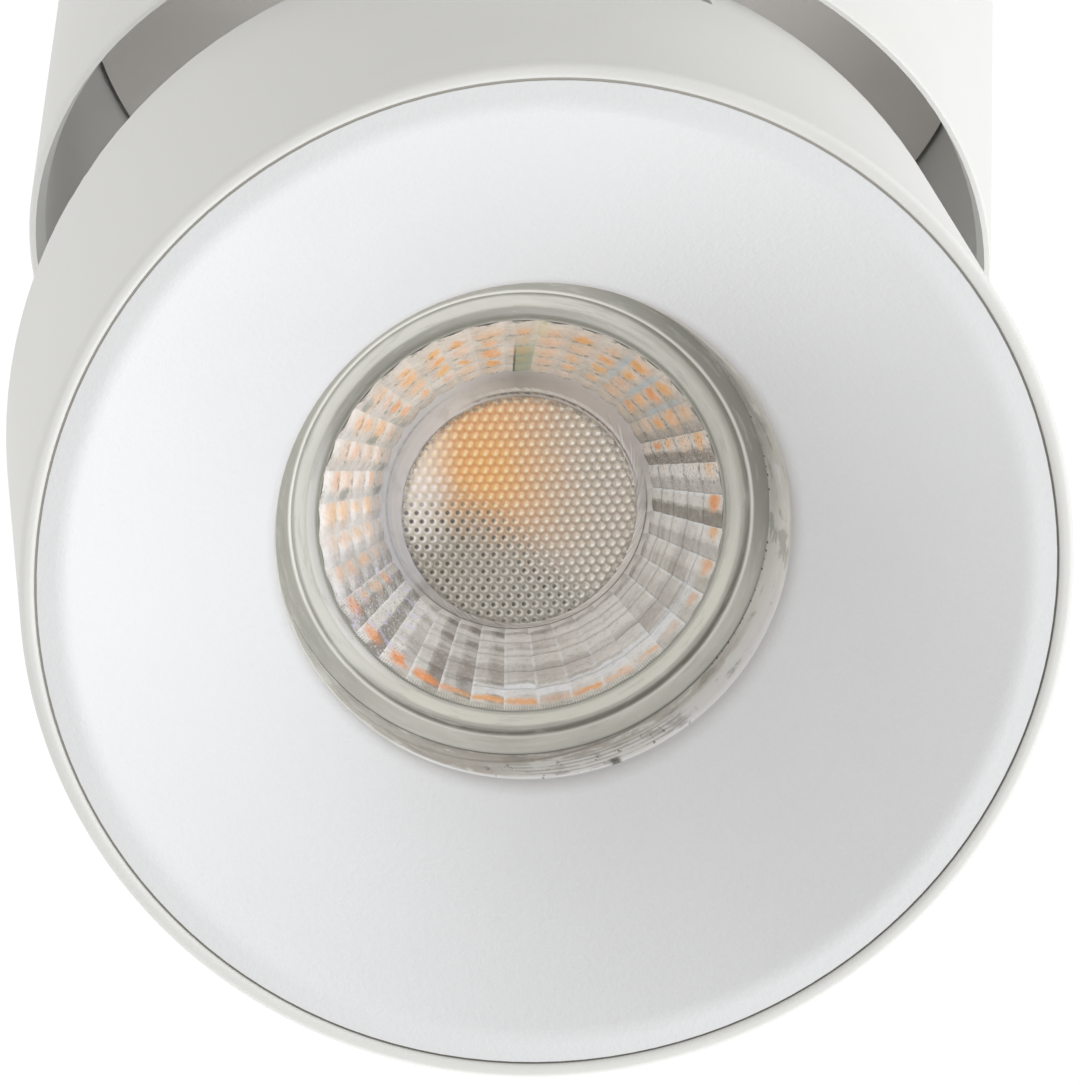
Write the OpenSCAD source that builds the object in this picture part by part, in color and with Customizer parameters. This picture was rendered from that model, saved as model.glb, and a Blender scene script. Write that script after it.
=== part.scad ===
// Surface mounted ceiling downlight whose head folds out of a base tube and turns with it.
// The origin is the centre of the ceiling face, and the lamp hangs down along -Z.
// The head is drawn part folded out, leaning toward -Y.

/* [Body] */
// Outer diameter of the base tube and of the head
body_d = 100; // [98:1:116]
// Height of the base tube below the ceiling
tube_h = 80; // [78:1:110]
// Wall thickness of the base tube
tube_wall = 1.5; // [1.4:0.1:2.2]
// Depth of the recess between the tube's rim and the turntable
recess_depth = 41; // [38:1:42]
// Gap between the tube's rim and the folded-in head
closing_gap = 1; // [0.6:0.1:2]
// Width of the bevel round the inside of the tube's rim
rim_bevel_w = 0.8; // [0.4:0.1:1]
// Height of that bevel
rim_bevel_h = 2; // [1:0.5:4]
// Chamfer on the outer edge of the tube's rim
edge_chamfer = 0.2; // [0.15:0.05:0.4]

/* [Ceiling plate] */
// Thickness of the steel ceiling plate
plate_t = 1.5; // [1.2:0.1:2]
// Distance between the two screw slots
slot_spacing = 60; // [50:1:64]
// Width of each screw slot
slot_w = 4.5; // [4:0.1:5.5]
// Length of each screw slot, end to end
slot_len = 10; // [8:0.5:13]
// Diameter of the cable hole in the plate
inlet_d = 16; // [14:0.5:20]
// Bore of the grommet that the supply cable passes through
grommet_bore = 8; // [6:0.5:11]
// Width of each bent tab
tab_w = 12; // [10:0.5:14]
// Height of each bent tab
tab_h = 14; // [12:0.5:16]
// Distance of the side screws below the ceiling
side_screw_z = 9; // [8:0.5:11]

/* [Driver] */
// Gap between the ends of the driver case and the bosses beside them
driver_end_gap = 4.2; // [3:0.1:8]
// Gap between the corners of the driver case and the tube
driver_corner_gap = 1.4; // [1:0.1:4]
// Height of the driver case
driver_h = 21; // [18:0.5:22]
// Wall thickness of the driver case
driver_wall = 1.5; // [1.2:0.1:2]
// Thickness of a printed circuit board
board_t = 1.6; // [1:0.1:2]

/* [Terminal block] */
// Number of poles
pole_count = 3; // [2:1:3]
// Distance between two poles
pole_pitch = 10; // [8:0.5:10]
// Width of the block across its poles
terminal_w = 14; // [12:0.5:16]
// Height of the block
terminal_h = 13; // [11:0.5:14]

/* [Turntable] */
// Thickness of the turntable disc
disc_t = 2.5; // [2:0.1:3.5]
// Gap between the turntable's edge and the tube
disc_gap = 0.6; // [0.3:0.05:0.8]
// Thickness of the bulkhead that carries the turntable
bulkhead_t = 4; // [3.5:0.1:5]
// Gap between the bulkhead's edge and the tube
bulkhead_gap = 0.3; // [0.2:0.05:0.5]
// Outer diameter of the hollow pivot
pivot_d = 12; // [11:0.5:14]
// Bore of the hollow pivot
pivot_bore = 8; // [6:0.5:9]
// Running clearance on radius of pins and pivots
running_fit = 0.05; // [0.02:0.01:0.08]
// Radius at which the stop pin travels
stop_r = 26; // [23:0.5:28]
// Diameter of the stop pin
stop_pin_d = 2.5; // [2:0.1:3]
// Width of the stop lug in the bulkhead's groove
stop_lug_w = 1.8; // [1.4:0.1:2.4]

/* [Fold-out hinge] */
// Distance of the hinge axis in from the outer surface
hinge_inset = 10; // [9.5:0.1:11]
// Distance of the hinge axis below the tube's rim
hinge_drop = 12; // [11.8:0.1:14]
// Diameter of the hinge bolt's shank
pin_d = 5; // [4:0.1:5.5]
// Width of the hinge arm
arm_w = 15; // [14:0.5:18]
// Thickness of the hinge arm
arm_t = 2.5; // [2:0.1:3]
// Length of the arm's foot on the turntable
foot_len = 18; // [15:0.5:20]
// Thickness of each friction washer
friction_washer_t = 1; // [0.8:0.1:1.2]
// Thickness of the hinge ears
ear_t = 2; // [1.6:0.1:2.4]
// Angle by which the head is drawn folded out
tilt_shown = 30.9; // [0:0.1:90]

/* [Head] */
// Length of the head from its front rim to its back
head_len = 56; // [54:0.5:70]
// Wall thickness of the head's shell
shell_wall = 2; // [1.8:0.1:2.4]
// Width of the shell's front rim around the baffle
front_rim_w = 1.4; // [1.2:0.1:1.7]
// Radius of the rounded edges of the front rim
rim_round_r = 0.6; // [0.3:0.05:0.6]
// Radius of the rounded rear shoulder
shoulder_r = 4.5; // [4:0.5:6.5]
// Gap between the baffle and the shell
baffle_gap = 0.25; // [0.15:0.05:0.5]

/* [Baffle] */
// Width of the flat band at the baffle's edge
band_w = 1.6; // [1:0.1:3]
// Radius that blends the band into the cone
band_blend_r = 3; // [2:0.5:5]
// Radius of the rounded lip at the throat
lip_r = 2.5; // [1.5:0.5:3.5]
// Wall thickness of the baffle
baffle_wall = 1.4; // [1.2:0.1:1.8]
// Depth of the baffle's skirt and of its seat in the shell
skirt_depth = 6.3; // [5.5:0.1:8]
// Angle that each snap leg of the baffle spans
snap_leg_angle = 18; // [12:1:24]

/* [Optics] */
// Diameter of the lens
lens_d = 51; // [49:0.5:52]
// Width of the lens's edge that the throat covers
throat_lap = 0.4; // [0.3:0.1:0.6]
// Depth of the throat's end behind the front rim
throat_depth = 16.5; // [15:0.5:18]
// Depth of the lens's flat ring behind the front rim
lens_face_depth = 23.2; // [22:0.1:24]
// Thickness of the lens's raised collar
collar_t = 1; // [0.8:0.1:1.4]
// Thickness of the lens plate
lens_plate_t = 3; // [2.5:0.1:3.5]
// Diameter of the ring step on the lens face
ring_step_d = 44.8; // [44:0.2:46]
// Height of the ring step on the lens face
ring_step_h = 0.6; // [0.4:0.1:1]
// Diameter of the faceted zone
facet_zone_d = 39.6; // [38:0.2:42]
// Height of the faceted zone's outer edge above the flat ring
facet_rise = 0.8; // [0.4:0.1:1]
// Diameter of the centre disc
centre_disc_d = 23; // [20:0.5:24]
// Depth of the centre disc below the flat ring
centre_sink = 1.4; // [0.8:0.1:1.8]
// Depth of the faceted bowl's bottom below the flat ring
bowl_sink = 4.4; // [3:0.1:5]
// Diameter of the light source
emitter_d = 14; // [9:0.5:16]

/* [Heat sink] */
// Gap between the flange and the feet of the hinge ears
flange_gap = 0.36; // [0.3:0.02:1]
// Width of the flange around the finned part
flange_rim_w = 6.3; // [6.1:0.1:7]
// Height of the fins' tips above the head's back
sink_rise = 26; // [18:0.5:30]
// Number of fins
fin_count = 11; // [7:2:11]
// Thickness of each fin
fin_t = 1.6; // [1.4:0.1:1.8]
// Thickness of the flange inside the head
flange_t = 3; // [2.5:0.1:4]

/* [Hidden] */

$fn = 96;
eps = 0.01;

body_r = body_d / 2;
tube_in_r = body_r - tube_wall;

// Levels in the base tube, measured up from the rim to the ceiling
rim_z = -tube_h;
disc_z = rim_z + recess_depth;
disc_top_z = disc_z + disc_t;
thrust_t = 0.8;
bulkhead_z = disc_top_z + thrust_t;
bulkhead_top_z = bulkhead_z + bulkhead_t;
spring_washer_t = 1.2;
nut_z = bulkhead_top_z + spring_washer_t;
nut_h = 6;
pivot_end = 2;
pivot_top_z = nut_z + nut_h + pivot_end;
pivot_flange_t = 2;
pivot_flange_w = 3;
washer_gap = 0.3;
spring_washer_w = 4;
bush_flange_w = 1.5;
bush_flange_t = 1.5;
bush_len = 6;
bush_wall = 1.4;

// Screws of the two sizes used, M3 and M4
m3_r = 1.45;
m3_clear_r = 1.7;
m3_tap_r = 1.5;
m3_head_r = 2.8;
m3_head_h = 1.8;
m4_r = 1.95;
m4_tap_r = 2;
m4_head_r = 3.6;
m4_head_h = 2.2;
m5_head_r = 4.2;
m5_head_h = 2.6;

plate_edge_gap = 0.4;
grommet_flange_w = 2;
grommet_flange_t = 2;
tab_outer = tube_in_r - 1;
tab_angles = [90, 210, 330];
boss_angles = [30, 150, 270];
boss_r = 4;
boss_pitch_r = tube_in_r - 5.4;
boss_h = 14;
bulkhead_screw_len = 10;

pole_span = pole_count * pole_pitch;
nut_across = 19;
nut_corner_r = nut_across / sqrt(3);
driver_y = nut_corner_r + 1;
driver_z = bulkhead_top_z;
terminal_gap = 9;
terminal_y = -nut_corner_r - terminal_gap - terminal_w;

// The driver case fills the room between two bosses, the nut and the tube, in whole millimetres
driver_l = floor(2 * (boss_pitch_r * cos(boss_angles[0]) - boss_r - driver_end_gap));
driver_corner_r = tube_in_r - driver_corner_gap;
driver_w = floor(sqrt(driver_corner_r * driver_corner_r - driver_l * driver_l / 4) - driver_y);
transformer = [16, 14, 11];
capacitor_r = 5;
capacitor_h = 12;
filter_r = 4;
filter_h = 10;
component_inset = 11;
board_post_r = 2;
board_post_inset = 4;
lead_notch_w = 6;
lead_notch_h = 4;

groove_w = stop_pin_d + 1.2;
groove_depth = 2.4;
groove_land = 2;
stop_pin_gap = 0.5;
stop_pin_rise = thrust_t + groove_depth - stop_pin_gap;

// The hinge axis runs along X
hinge_y = -(body_r - hinge_inset);
hinge_z = rim_z - hinge_drop;
barrel_wall = 2;
barrel_r = pin_d / 2 + barrel_wall;
arm_screw_x = arm_w * 0.3;
arm_screw_y = hinge_y + 8;
arm_hole_gap = 0.2;
hinge_bolt_socket_r = 1.7;
washer_x = arm_w / 2;
ear_x = washer_x + friction_washer_t;
bolt_end_x = ear_x + ear_t;
hinge_nut_h = 3.2;
hinge_nut_across = 8;

// Levels in the head, measured back from the front rim
back_wall_z = head_len - shell_wall;
pivot_depth = head_len - (hinge_drop - closing_gap);
shoulder_in_r = shoulder_r - shell_wall;
shell_in_r = body_r - shell_wall;
seat_r = body_r - front_rim_w;
ledge_t = 2;
ledge_w = 1;
flat_back_r = body_r - shoulder_r;
slot_side_gap = 0.5;
slot_x = arm_w / 2 + slot_side_gap;
slot_gap = 1.25;
slot_y = hinge_y + arm_t / 2 + slot_gap;
slot_end_gap = 0.6;
slot_depth = hinge_drop - closing_gap + arm_t / 2 + slot_end_gap;
ear_r = 5;
ear_back_y = [-2, 7];
ear_foot_x = 8;
ear_foot_y = [1.5, 8.5];
ear_screw_x = bolt_end_x + 4;
ear_screw_y = hinge_y + 5;

sink_hole_gap = 0.3;
flange_r = norm([ear_x, hinge_y + ear_foot_y[1]]) - flange_gap;
sink_r = flange_r - flange_rim_w;
flange_z = back_wall_z - flange_t;
sink_screw_r = sink_r + 3.3;
sink_screw_angles = [90, 210, 330];
fin_root_t = 3;
lead_hole_r = 4;
lead_hole_pitch_r = flange_r + lead_hole_r + 1.2;
lead_hole_angle = 45;
lead_bore_r = 2.6;

emitter_t = 0.8;
led_board_r = 18;
pedestal_h = 8.5;
led_board_z = flange_z - pedestal_h - board_t;
pedestal_r = 20;
led_window_gap = 1.2;
led_screw_bite = 6;
emitter_z = led_board_z - emitter_t;
led_frame_t = 2.5;
led_screw_x = led_board_r - 3.3;

lens_r = lens_d / 2;
lens_back_z = lens_face_depth + lens_plate_t;
lens_edge_w = 4;
lens_body_r = lens_r - lens_edge_w;
lens_body_end_r = 9.5;
emitter_clearance = 2;
lens_body_end_z = emitter_z - emitter_clearance;
lens_cup_r = emitter_d / 2 + 0.8;
lens_cup_taper = 0.6;
lens_cup_depth = 5;
holder_lap = 2;
holder_gap = 0.2;
holder_wall = 2;
holder_in_r = lens_r + holder_gap;
holder_out_r = holder_in_r + holder_wall;

baffle_r = seat_r - baffle_gap;
throat_r = lens_r - throat_lap;
front_inset = 0.25;

// Centres of the two arcs of the baffle's front, and the slope of the cone that touches both
band_centre = [baffle_r - band_w, front_inset + band_blend_r];
lip_centre = [throat_r + lip_r, throat_depth - 0.6];
arc_span = band_centre - lip_centre;
cone_angle = atan2(-arc_span.y, arc_span.x) + asin((band_blend_r - lip_r) / norm(arc_span));

// Points along an arc of a circle, from angle a0 to angle a1
function arc(centre, r, a0, a1, steps = 8) =
    [for (i = [0:steps]) centre + r * [cos(a0 + (a1 - a0) * i / steps), sin(a0 + (a1 - a0) * i / steps)]];

// Children at each of several angles around the axis
module around(angles) {
    for (a = angles)
        rotate([0, 0, a])
            children();
}

// A flat ring standing on the XY plane
module ring(r_out, r_in, h) {
    difference() {
        cylinder(r = r_out, h = h);
        translate([0, 0, -eps])
            cylinder(r = r_in, h = h + 2 * eps);
    }
}

// A cylinder along X, centred on the YZ origin
module x_cylinder(r, x0, x1) {
    translate([x0, 0, 0])
        rotate([0, 90, 0])
            cylinder(r = r, h = x1 - x0);
}

// A pan head screw along +Z with its head below the XY plane and a cross recess in it
module pan_screw(r, head_r, head_h, length) {
    difference() {
        translate([0, 0, -head_h])
            cylinder(r = head_r, h = head_h);
        for (a = [0, 90])
            rotate([0, 0, a])
                translate([-head_r * 0.55, -0.35, -head_h - eps])
                    cube([head_r * 1.1, 0.7, head_h * 0.55]);
    }
    cylinder(r = r, h = length);
}

// A countersunk screw along +Z with its head's face on the XY plane
module countersunk_screw(r, head_r, length) {
    difference() {
        cylinder(r1 = head_r, r2 = r, h = head_r - r);
        for (a = [0, 90])
            rotate([0, 0, a])
                translate([-head_r * 0.55, -0.3, -eps])
                    cube([head_r * 1.1, 0.6, 0.6]);
    }
    cylinder(r = r, h = length);
}

// Places the head, drawn with its front rim at zero and its back upward, at the shown angle
module in_head() {
    translate([0, hinge_y, hinge_z])
        rotate([-tilt_shown, 0, 0])
            translate([0, -hinge_y, -pivot_depth])
                children();
}

module slot_hole(length, w, h) {
    for (x = [-1, 1])
        translate([x * (length - w) / 2, 0, 0])
            cylinder(d = w, h = h);
    translate([-(length - w) / 2, -w / 2, 0])
        cube([length - w, w, h]);
}

module ceiling_plate() {
    color("gainsboro") {
        difference() {
            translate([0, 0, -plate_t])
                cylinder(r = tube_in_r - plate_edge_gap, h = plate_t);
            for (x = [-1, 1])
                translate([x * slot_spacing / 2, 0, -plate_t - eps])
                    slot_hole(slot_len, slot_w, plate_t + 2 * eps);
            translate([0, 0, -plate_t - eps])
                cylinder(d = inlet_d, h = plate_t + 2 * eps);
            earth_hole();
        }
        around(tab_angles)
            difference() {
                translate([tab_outer - plate_t, -tab_w / 2, -tab_h])
                    cube([plate_t, tab_w, tab_h - plate_t / 2]);
                translate([0, 0, -side_screw_z])
                    x_cylinder(m3_tap_r, tab_outer - plate_t - eps, tab_outer + eps);
            }
    }
}

earth_pos = [-26, -24];

module earth_hole() {
    translate([earth_pos.x, earth_pos.y, -plate_t - eps])
        cylinder(r = m4_tap_r, h = plate_t + 2 * eps);
}

module cable_grommet() {
    color("dimgray")
        difference() {
            union() {
                translate([0, 0, -plate_t])
                    cylinder(d = inlet_d, h = plate_t);
                translate([0, 0, -plate_t - grommet_flange_t])
                    cylinder(d = inlet_d + 2 * grommet_flange_w, h = grommet_flange_t);
            }
            translate([0, 0, -plate_t - grommet_flange_t - eps])
                cylinder(d = grommet_bore, h = plate_t + grommet_flange_t + 2 * eps);
        }
}

module side_screws() {
    color("silver")
        around(tab_angles)
            translate([body_r - 0.1, 0, -side_screw_z])
                rotate([0, -90, 0])
                    countersunk_screw(m3_r, m3_head_r, 7);
}

module base_tube() {
    color("white")
        difference() {
            union() {
                rotate_extrude()
                    polygon([[tube_in_r, 0], [body_r, 0], [body_r, rim_z + edge_chamfer],
                        [body_r - edge_chamfer, rim_z], [tube_in_r + rim_bevel_w, rim_z],
                        [tube_in_r, rim_z + rim_bevel_h]]);
                around(boss_angles) {
                    translate([boss_pitch_r, 0, bulkhead_top_z])
                        cylinder(r = boss_r, h = boss_h);
                    translate([boss_pitch_r, -boss_r / 2, bulkhead_top_z])
                        cube([body_r - tube_wall / 2 - boss_pitch_r, boss_r, boss_h]);
                }
            }
            around(boss_angles)
                translate([boss_pitch_r, 0, bulkhead_top_z - eps])
                    cylinder(r = m3_tap_r, h = bulkhead_screw_len);
            around(tab_angles)
                translate([body_r, 0, -side_screw_z])
                    rotate([0, -90, 0]) {
                        translate([0, 0, -eps])
                            cylinder(r1 = m3_head_r + 0.2, r2 = m3_clear_r, h = m3_head_r + 0.2 - m3_clear_r);
                        cylinder(r = m3_clear_r, h = tube_wall + 1);
                    }
        }
}

module pole_places() {
    for (i = [0:pole_count - 1])
        translate([(i - (pole_count - 1) / 2) * pole_pitch, 0, 0])
            children();
}

screw_well_r = 2.1;

module terminal_block() {
    color("ivory")
        translate([0, terminal_y, -plate_t - terminal_h])
            difference() {
                translate([-pole_span / 2, 0, 0])
                    cube([pole_span, terminal_w, terminal_h]);
                pole_places()
                    for (y = [0.25, 0.75])
                        translate([0, terminal_w * y, -eps])
                            cylinder(r = screw_well_r, h = terminal_h * 0.6);
                pole_places()
                    translate([0, -eps, terminal_h * 0.55])
                        rotate([-90, 0, 0])
                            cylinder(r = 1.8, h = terminal_w + 2 * eps);
            }
}

module terminal_screws() {
    color("silver")
        translate([0, terminal_y, -plate_t - terminal_h])
            pole_places()
                for (y = [0.25, 0.75])
                    translate([0, terminal_w * y, 1.5])
                        difference() {
                            cylinder(r = screw_well_r, h = terminal_h * 0.3);
                            translate([-screw_well_r, -0.3, -eps])
                                cube([2 * screw_well_r, 0.6, 0.8]);
                        }
}

module earth_screw() {
    color("gold")
        translate([earth_pos.x, earth_pos.y, -plate_t])
            pan_screw(m4_r, m4_head_r, m4_head_h, plate_t - 0.1);
}

module driver_case() {
    color("whitesmoke")
        translate([-driver_l / 2, driver_y, driver_z])
            difference() {
                cube([driver_l, driver_w, driver_h - driver_wall]);
                translate([driver_wall, driver_wall, driver_wall])
                    cube([driver_l - 2 * driver_wall, driver_w - 2 * driver_wall, driver_h]);
                for (x = [-eps, driver_l - driver_wall - eps])
                    translate([x, (driver_w - lead_notch_w) / 2, driver_h - driver_wall - lead_notch_h])
                        cube([driver_wall + 2 * eps, lead_notch_w, lead_notch_h + eps]);
            }
}

module driver_cover() {
    color("whitesmoke")
        translate([-driver_l / 2, driver_y, driver_z + driver_h - driver_wall])
            cube([driver_l, driver_w, driver_wall]);
}

board_gap = 0.3;
board_lift = driver_wall + 2;

module driver_board() {
    color("seagreen")
        translate([-driver_l / 2 + driver_wall + board_gap, driver_y + driver_wall + board_gap, driver_z])
            union() {
                translate([0, 0, board_lift])
                    cube([driver_l - 2 * (driver_wall + board_gap), driver_w - 2 * (driver_wall + board_gap),
                        board_t]);
                for (x = [board_post_inset, driver_l - 2 * (driver_wall + board_gap) - board_post_inset])
                    translate([x, driver_w / 2 - driver_wall - board_gap, driver_wall])
                        cylinder(r = board_post_r, h = board_lift - driver_wall + eps);
            }
}

module driver_components() {
    component_z = driver_z + board_lift + board_t;
    centre_y = driver_y + driver_w / 2;
    color("dimgray") {
        translate([-transformer.x / 2, centre_y - transformer.y / 2, component_z])
            cube(transformer);
        translate([driver_l / 2 - component_inset, centre_y, component_z])
            cylinder(r = capacitor_r, h = capacitor_h);
        translate([-driver_l / 2 + component_inset, centre_y, component_z])
            cylinder(r = filter_r, h = filter_h);
    }
}

module bulkhead() {
    color("lightgray")
        difference() {
            translate([0, 0, bulkhead_z])
                cylinder(r = tube_in_r - bulkhead_gap, h = bulkhead_t);
            translate([0, 0, bulkhead_z - eps])
                cylinder(r = pivot_d / 2 + running_fit, h = bulkhead_t + 2 * eps);
            around(boss_angles)
                translate([boss_pitch_r, 0, bulkhead_z - eps]) {
                    cylinder(r1 = m3_head_r + 0.2, r2 = m3_clear_r, h = m3_head_r + 0.2 - m3_clear_r);
                    cylinder(r = m3_clear_r, h = bulkhead_t + 2 * eps);
                }
            difference() {
                translate([0, 0, bulkhead_z - eps])
                    ring(stop_r + groove_w / 2, stop_r - groove_w / 2, groove_depth);
                translate([-stop_lug_w / 2, stop_r - groove_w, bulkhead_z - 1])
                    cube([stop_lug_w, 2 * groove_w, groove_depth + 1]);
            }
        }
}

module bulkhead_screws() {
    color("silver")
        around(boss_angles)
            translate([boss_pitch_r, 0, bulkhead_z + 0.1])
                countersunk_screw(m3_r, m3_head_r, bulkhead_t + bulkhead_screw_len - 1);
}

module turntable_disc() {
    color("white")
        difference() {
            translate([0, 0, disc_z])
                cylinder(r = tube_in_r - disc_gap, h = disc_t);
            translate([0, 0, disc_z - eps])
                cylinder(r = pivot_d / 2 + running_fit, h = disc_t + 2 * eps);
            for (x = [-1, 1])
                translate([x * arm_screw_x, arm_screw_y, disc_z - eps])
                    cylinder(r = m4_tap_r, h = disc_t + 2 * eps);
        }
}

module stop_pin() {
    color("silver")
        translate([0, -stop_r, disc_top_z])
            cylinder(d = stop_pin_d, h = stop_pin_rise);
}

module thrust_washer() {
    color("ivory")
        translate([0, 0, disc_top_z])
            ring(stop_r - groove_w / 2 - groove_land, pivot_d / 2 + washer_gap, thrust_t);
}

module pivot_tube() {
    color("silver")
        difference() {
            union() {
                translate([0, 0, disc_z - pivot_flange_t])
                    cylinder(r = pivot_d / 2 + pivot_flange_w, h = pivot_flange_t);
                translate([0, 0, disc_z - pivot_flange_t])
                    cylinder(d = pivot_d, h = pivot_top_z - disc_z + pivot_flange_t);
            }
            translate([0, 0, disc_z - pivot_flange_t - eps])
                cylinder(d = pivot_bore, h = pivot_top_z - disc_z + pivot_flange_t + 2 * eps);
        }
}

module pivot_bush() {
    bush_z = disc_z - pivot_flange_t - bush_flange_t;
    color("dimgray")
        difference() {
            union() {
                translate([0, 0, bush_z])
                    cylinder(r = pivot_bore / 2 + bush_flange_w, h = bush_flange_t);
                translate([0, 0, bush_z])
                    cylinder(d = pivot_bore, h = bush_len);
            }
            translate([0, 0, bush_z - eps])
                cylinder(r = pivot_bore / 2 - bush_wall, h = bush_len + 2 * eps);
        }
}

module spring_washer() {
    color("silver")
        translate([0, 0, bulkhead_top_z])
            ring(pivot_d / 2 + spring_washer_w, pivot_d / 2 + washer_gap, spring_washer_t);
}

module pivot_nut() {
    color("silver")
        translate([0, 0, nut_z])
            difference() {
                cylinder(r = nut_corner_r, h = nut_h, $fn = 6);
                translate([0, 0, -eps])
                    cylinder(r = pivot_d / 2 + running_fit, h = nut_h + 2 * eps);
            }
}

module hinge_arm() {
    color("white")
        difference() {
            union() {
                translate([-arm_w / 2, hinge_y - arm_t / 2, disc_z - arm_t])
                    cube([arm_w, foot_len, arm_t]);
                translate([-arm_w / 2, hinge_y - arm_t / 2, hinge_z])
                    cube([arm_w, arm_t, disc_z - hinge_z]);
                translate([0, hinge_y, hinge_z])
                    x_cylinder(barrel_r, -arm_w / 2, arm_w / 2);
            }
            translate([0, hinge_y, hinge_z])
                x_cylinder(pin_d / 2 + running_fit, -arm_w / 2 - eps, arm_w / 2 + eps);
            for (x = [-1, 1])
                translate([x * arm_screw_x, arm_screw_y, disc_z - arm_t - eps])
                    cylinder(r = m4_tap_r + arm_hole_gap, h = arm_t + 2 * eps);
        }
}

module arm_screws() {
    color("silver")
        for (x = [-1, 1])
            translate([x * arm_screw_x, arm_screw_y, disc_z - arm_t])
                pan_screw(m4_r, m4_head_r, m4_head_h, arm_t + disc_t - 0.1);
}

// Draws its children with the hinge axis at the head's own hinge place
module at_head_hinge() {
    translate([0, hinge_y, pivot_depth])
        children();
}

module hinge_bolt() {
    color("silver")
        in_head()
            at_head_hinge() {
                x_cylinder(pin_d / 2, -bolt_end_x - hinge_nut_h, bolt_end_x + eps);
                difference() {
                    x_cylinder(m5_head_r, bolt_end_x, bolt_end_x + m5_head_h);
                    translate([bolt_end_x + m5_head_h * 0.4, 0, 0])
                        rotate([0, 90, 0])
                            cylinder(r = hinge_bolt_socket_r, h = m5_head_h, $fn = 6);
                }
            }
}

module hinge_nut() {
    color("silver")
        in_head()
            at_head_hinge()
                translate([-bolt_end_x - hinge_nut_h, 0, 0])
                    rotate([0, 90, 0])
                        difference() {
                            cylinder(r = hinge_nut_across / sqrt(3), h = hinge_nut_h, $fn = 6);
                            translate([0, 0, -eps])
                                cylinder(r = pin_d / 2 + running_fit, h = hinge_nut_h + 2 * eps);
                        }
}

module friction_washers() {
    color("ivory")
        in_head()
            at_head_hinge()
                for (x = [-ear_x, washer_x])
                    translate([x, 0, 0])
                        rotate([0, 90, 0])
                            ring(barrel_r, pin_d / 2 + running_fit, friction_washer_t);
}

// One ear on the +X side, with its foot on the inside of the head's back wall
module hinge_ear() {
    difference() {
        union() {
            translate([0, hinge_y, pivot_depth])
                x_cylinder(ear_r, ear_x, bolt_end_x);
            translate([ear_x, hinge_y + ear_back_y[0], pivot_depth])
                cube([ear_t, ear_back_y[1] - ear_back_y[0], back_wall_z - pivot_depth]);
            translate([ear_x, hinge_y + ear_foot_y[0], back_wall_z - ear_t])
                cube([ear_t + ear_foot_x, ear_foot_y[1] - ear_foot_y[0], ear_t]);
        }
        translate([0, hinge_y, pivot_depth])
            x_cylinder(pin_d / 2 + running_fit, ear_x - eps, bolt_end_x + eps);
        translate([ear_screw_x, ear_screw_y, back_wall_z - ear_t - eps])
            cylinder(r = m3_tap_r, h = ear_t + 2 * eps);
    }
}

module hinge_ears() {
    color("silver")
        in_head()
            for (side = [0, 1])
                mirror([side, 0, 0])
                    hinge_ear();
}

module ear_screws() {
    color("silver")
        in_head()
            for (side = [-1, 1])
                translate([side * ear_screw_x, ear_screw_y, head_len])
                    rotate([180, 0, 0])
                        pan_screw(m3_r, m3_head_r, m3_head_h, shell_wall + ear_t - 0.1);
}

// What a corner at the origin loses when it is rounded, with its material toward the +X and +Y sides
module corner_waste(r) {
    difference() {
        translate([-eps, -eps])
            square([r + eps, r + eps]);
        translate([r, r])
            circle(r = r);
    }
}

// Half section of a cup with rounded corners at its closed end
module cup_section(r, h, corner) {
    square([r, h - corner]);
    square([r - corner, h]);
    translate([r - corner, h - corner])
        circle(r = corner);
}

module head_shell() {
    color("white")
        in_head()
            difference() {
                rotate_extrude()
                    intersection() {
                        difference() {
                            cup_section(body_r, head_len, shoulder_r);
                            translate([0, skirt_depth + ledge_t])
                                cup_section(shell_in_r, back_wall_z - skirt_depth - ledge_t, shoulder_in_r);
                            square([shell_in_r - ledge_w, skirt_depth + 2 * ledge_t]);
                            square([seat_r, skirt_depth]);
                            square([sink_r + sink_hole_gap, head_len + 1]);
                            translate([body_r, 0])
                                mirror([1, 0])
                                    corner_waste(rim_round_r);
                            translate([seat_r, 0])
                                corner_waste(rim_round_r);
                        }
                        square([body_r, head_len]);
                    }
                translate([-slot_x, -body_r - 1, head_len - slot_depth])
                    cube([2 * slot_x, body_r + 1 + slot_y, slot_depth + 1]);
                around(sink_screw_angles)
                    translate([sink_screw_r, 0, back_wall_z - eps])
                        cylinder(r = m3_clear_r, h = shell_wall + 2 * eps);
                for (side = [-1, 1])
                    translate([side * ear_screw_x, ear_screw_y, back_wall_z - eps])
                        cylinder(r = m3_clear_r, h = shell_wall + 2 * eps);
                rotate([0, 0, lead_hole_angle])
                    translate([lead_hole_pitch_r, 0, back_wall_z - eps])
                        cylinder(r = lead_hole_r, h = shell_wall + 2 * eps);
            }
}

module lead_grommet() {
    color("dimgray")
        in_head()
            rotate([0, 0, lead_hole_angle])
                translate([lead_hole_pitch_r, 0, back_wall_z])
                    difference() {
                        union() {
                            cylinder(r = lead_hole_r, h = shell_wall);
                            translate([0, 0, shell_wall])
                                cylinder(r = lead_hole_r + 0.9, h = 1.5);
                        }
                        translate([0, 0, -eps])
                            cylinder(r = lead_bore_r, h = shell_wall + 1.5 + 2 * eps);
                    }
}

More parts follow.
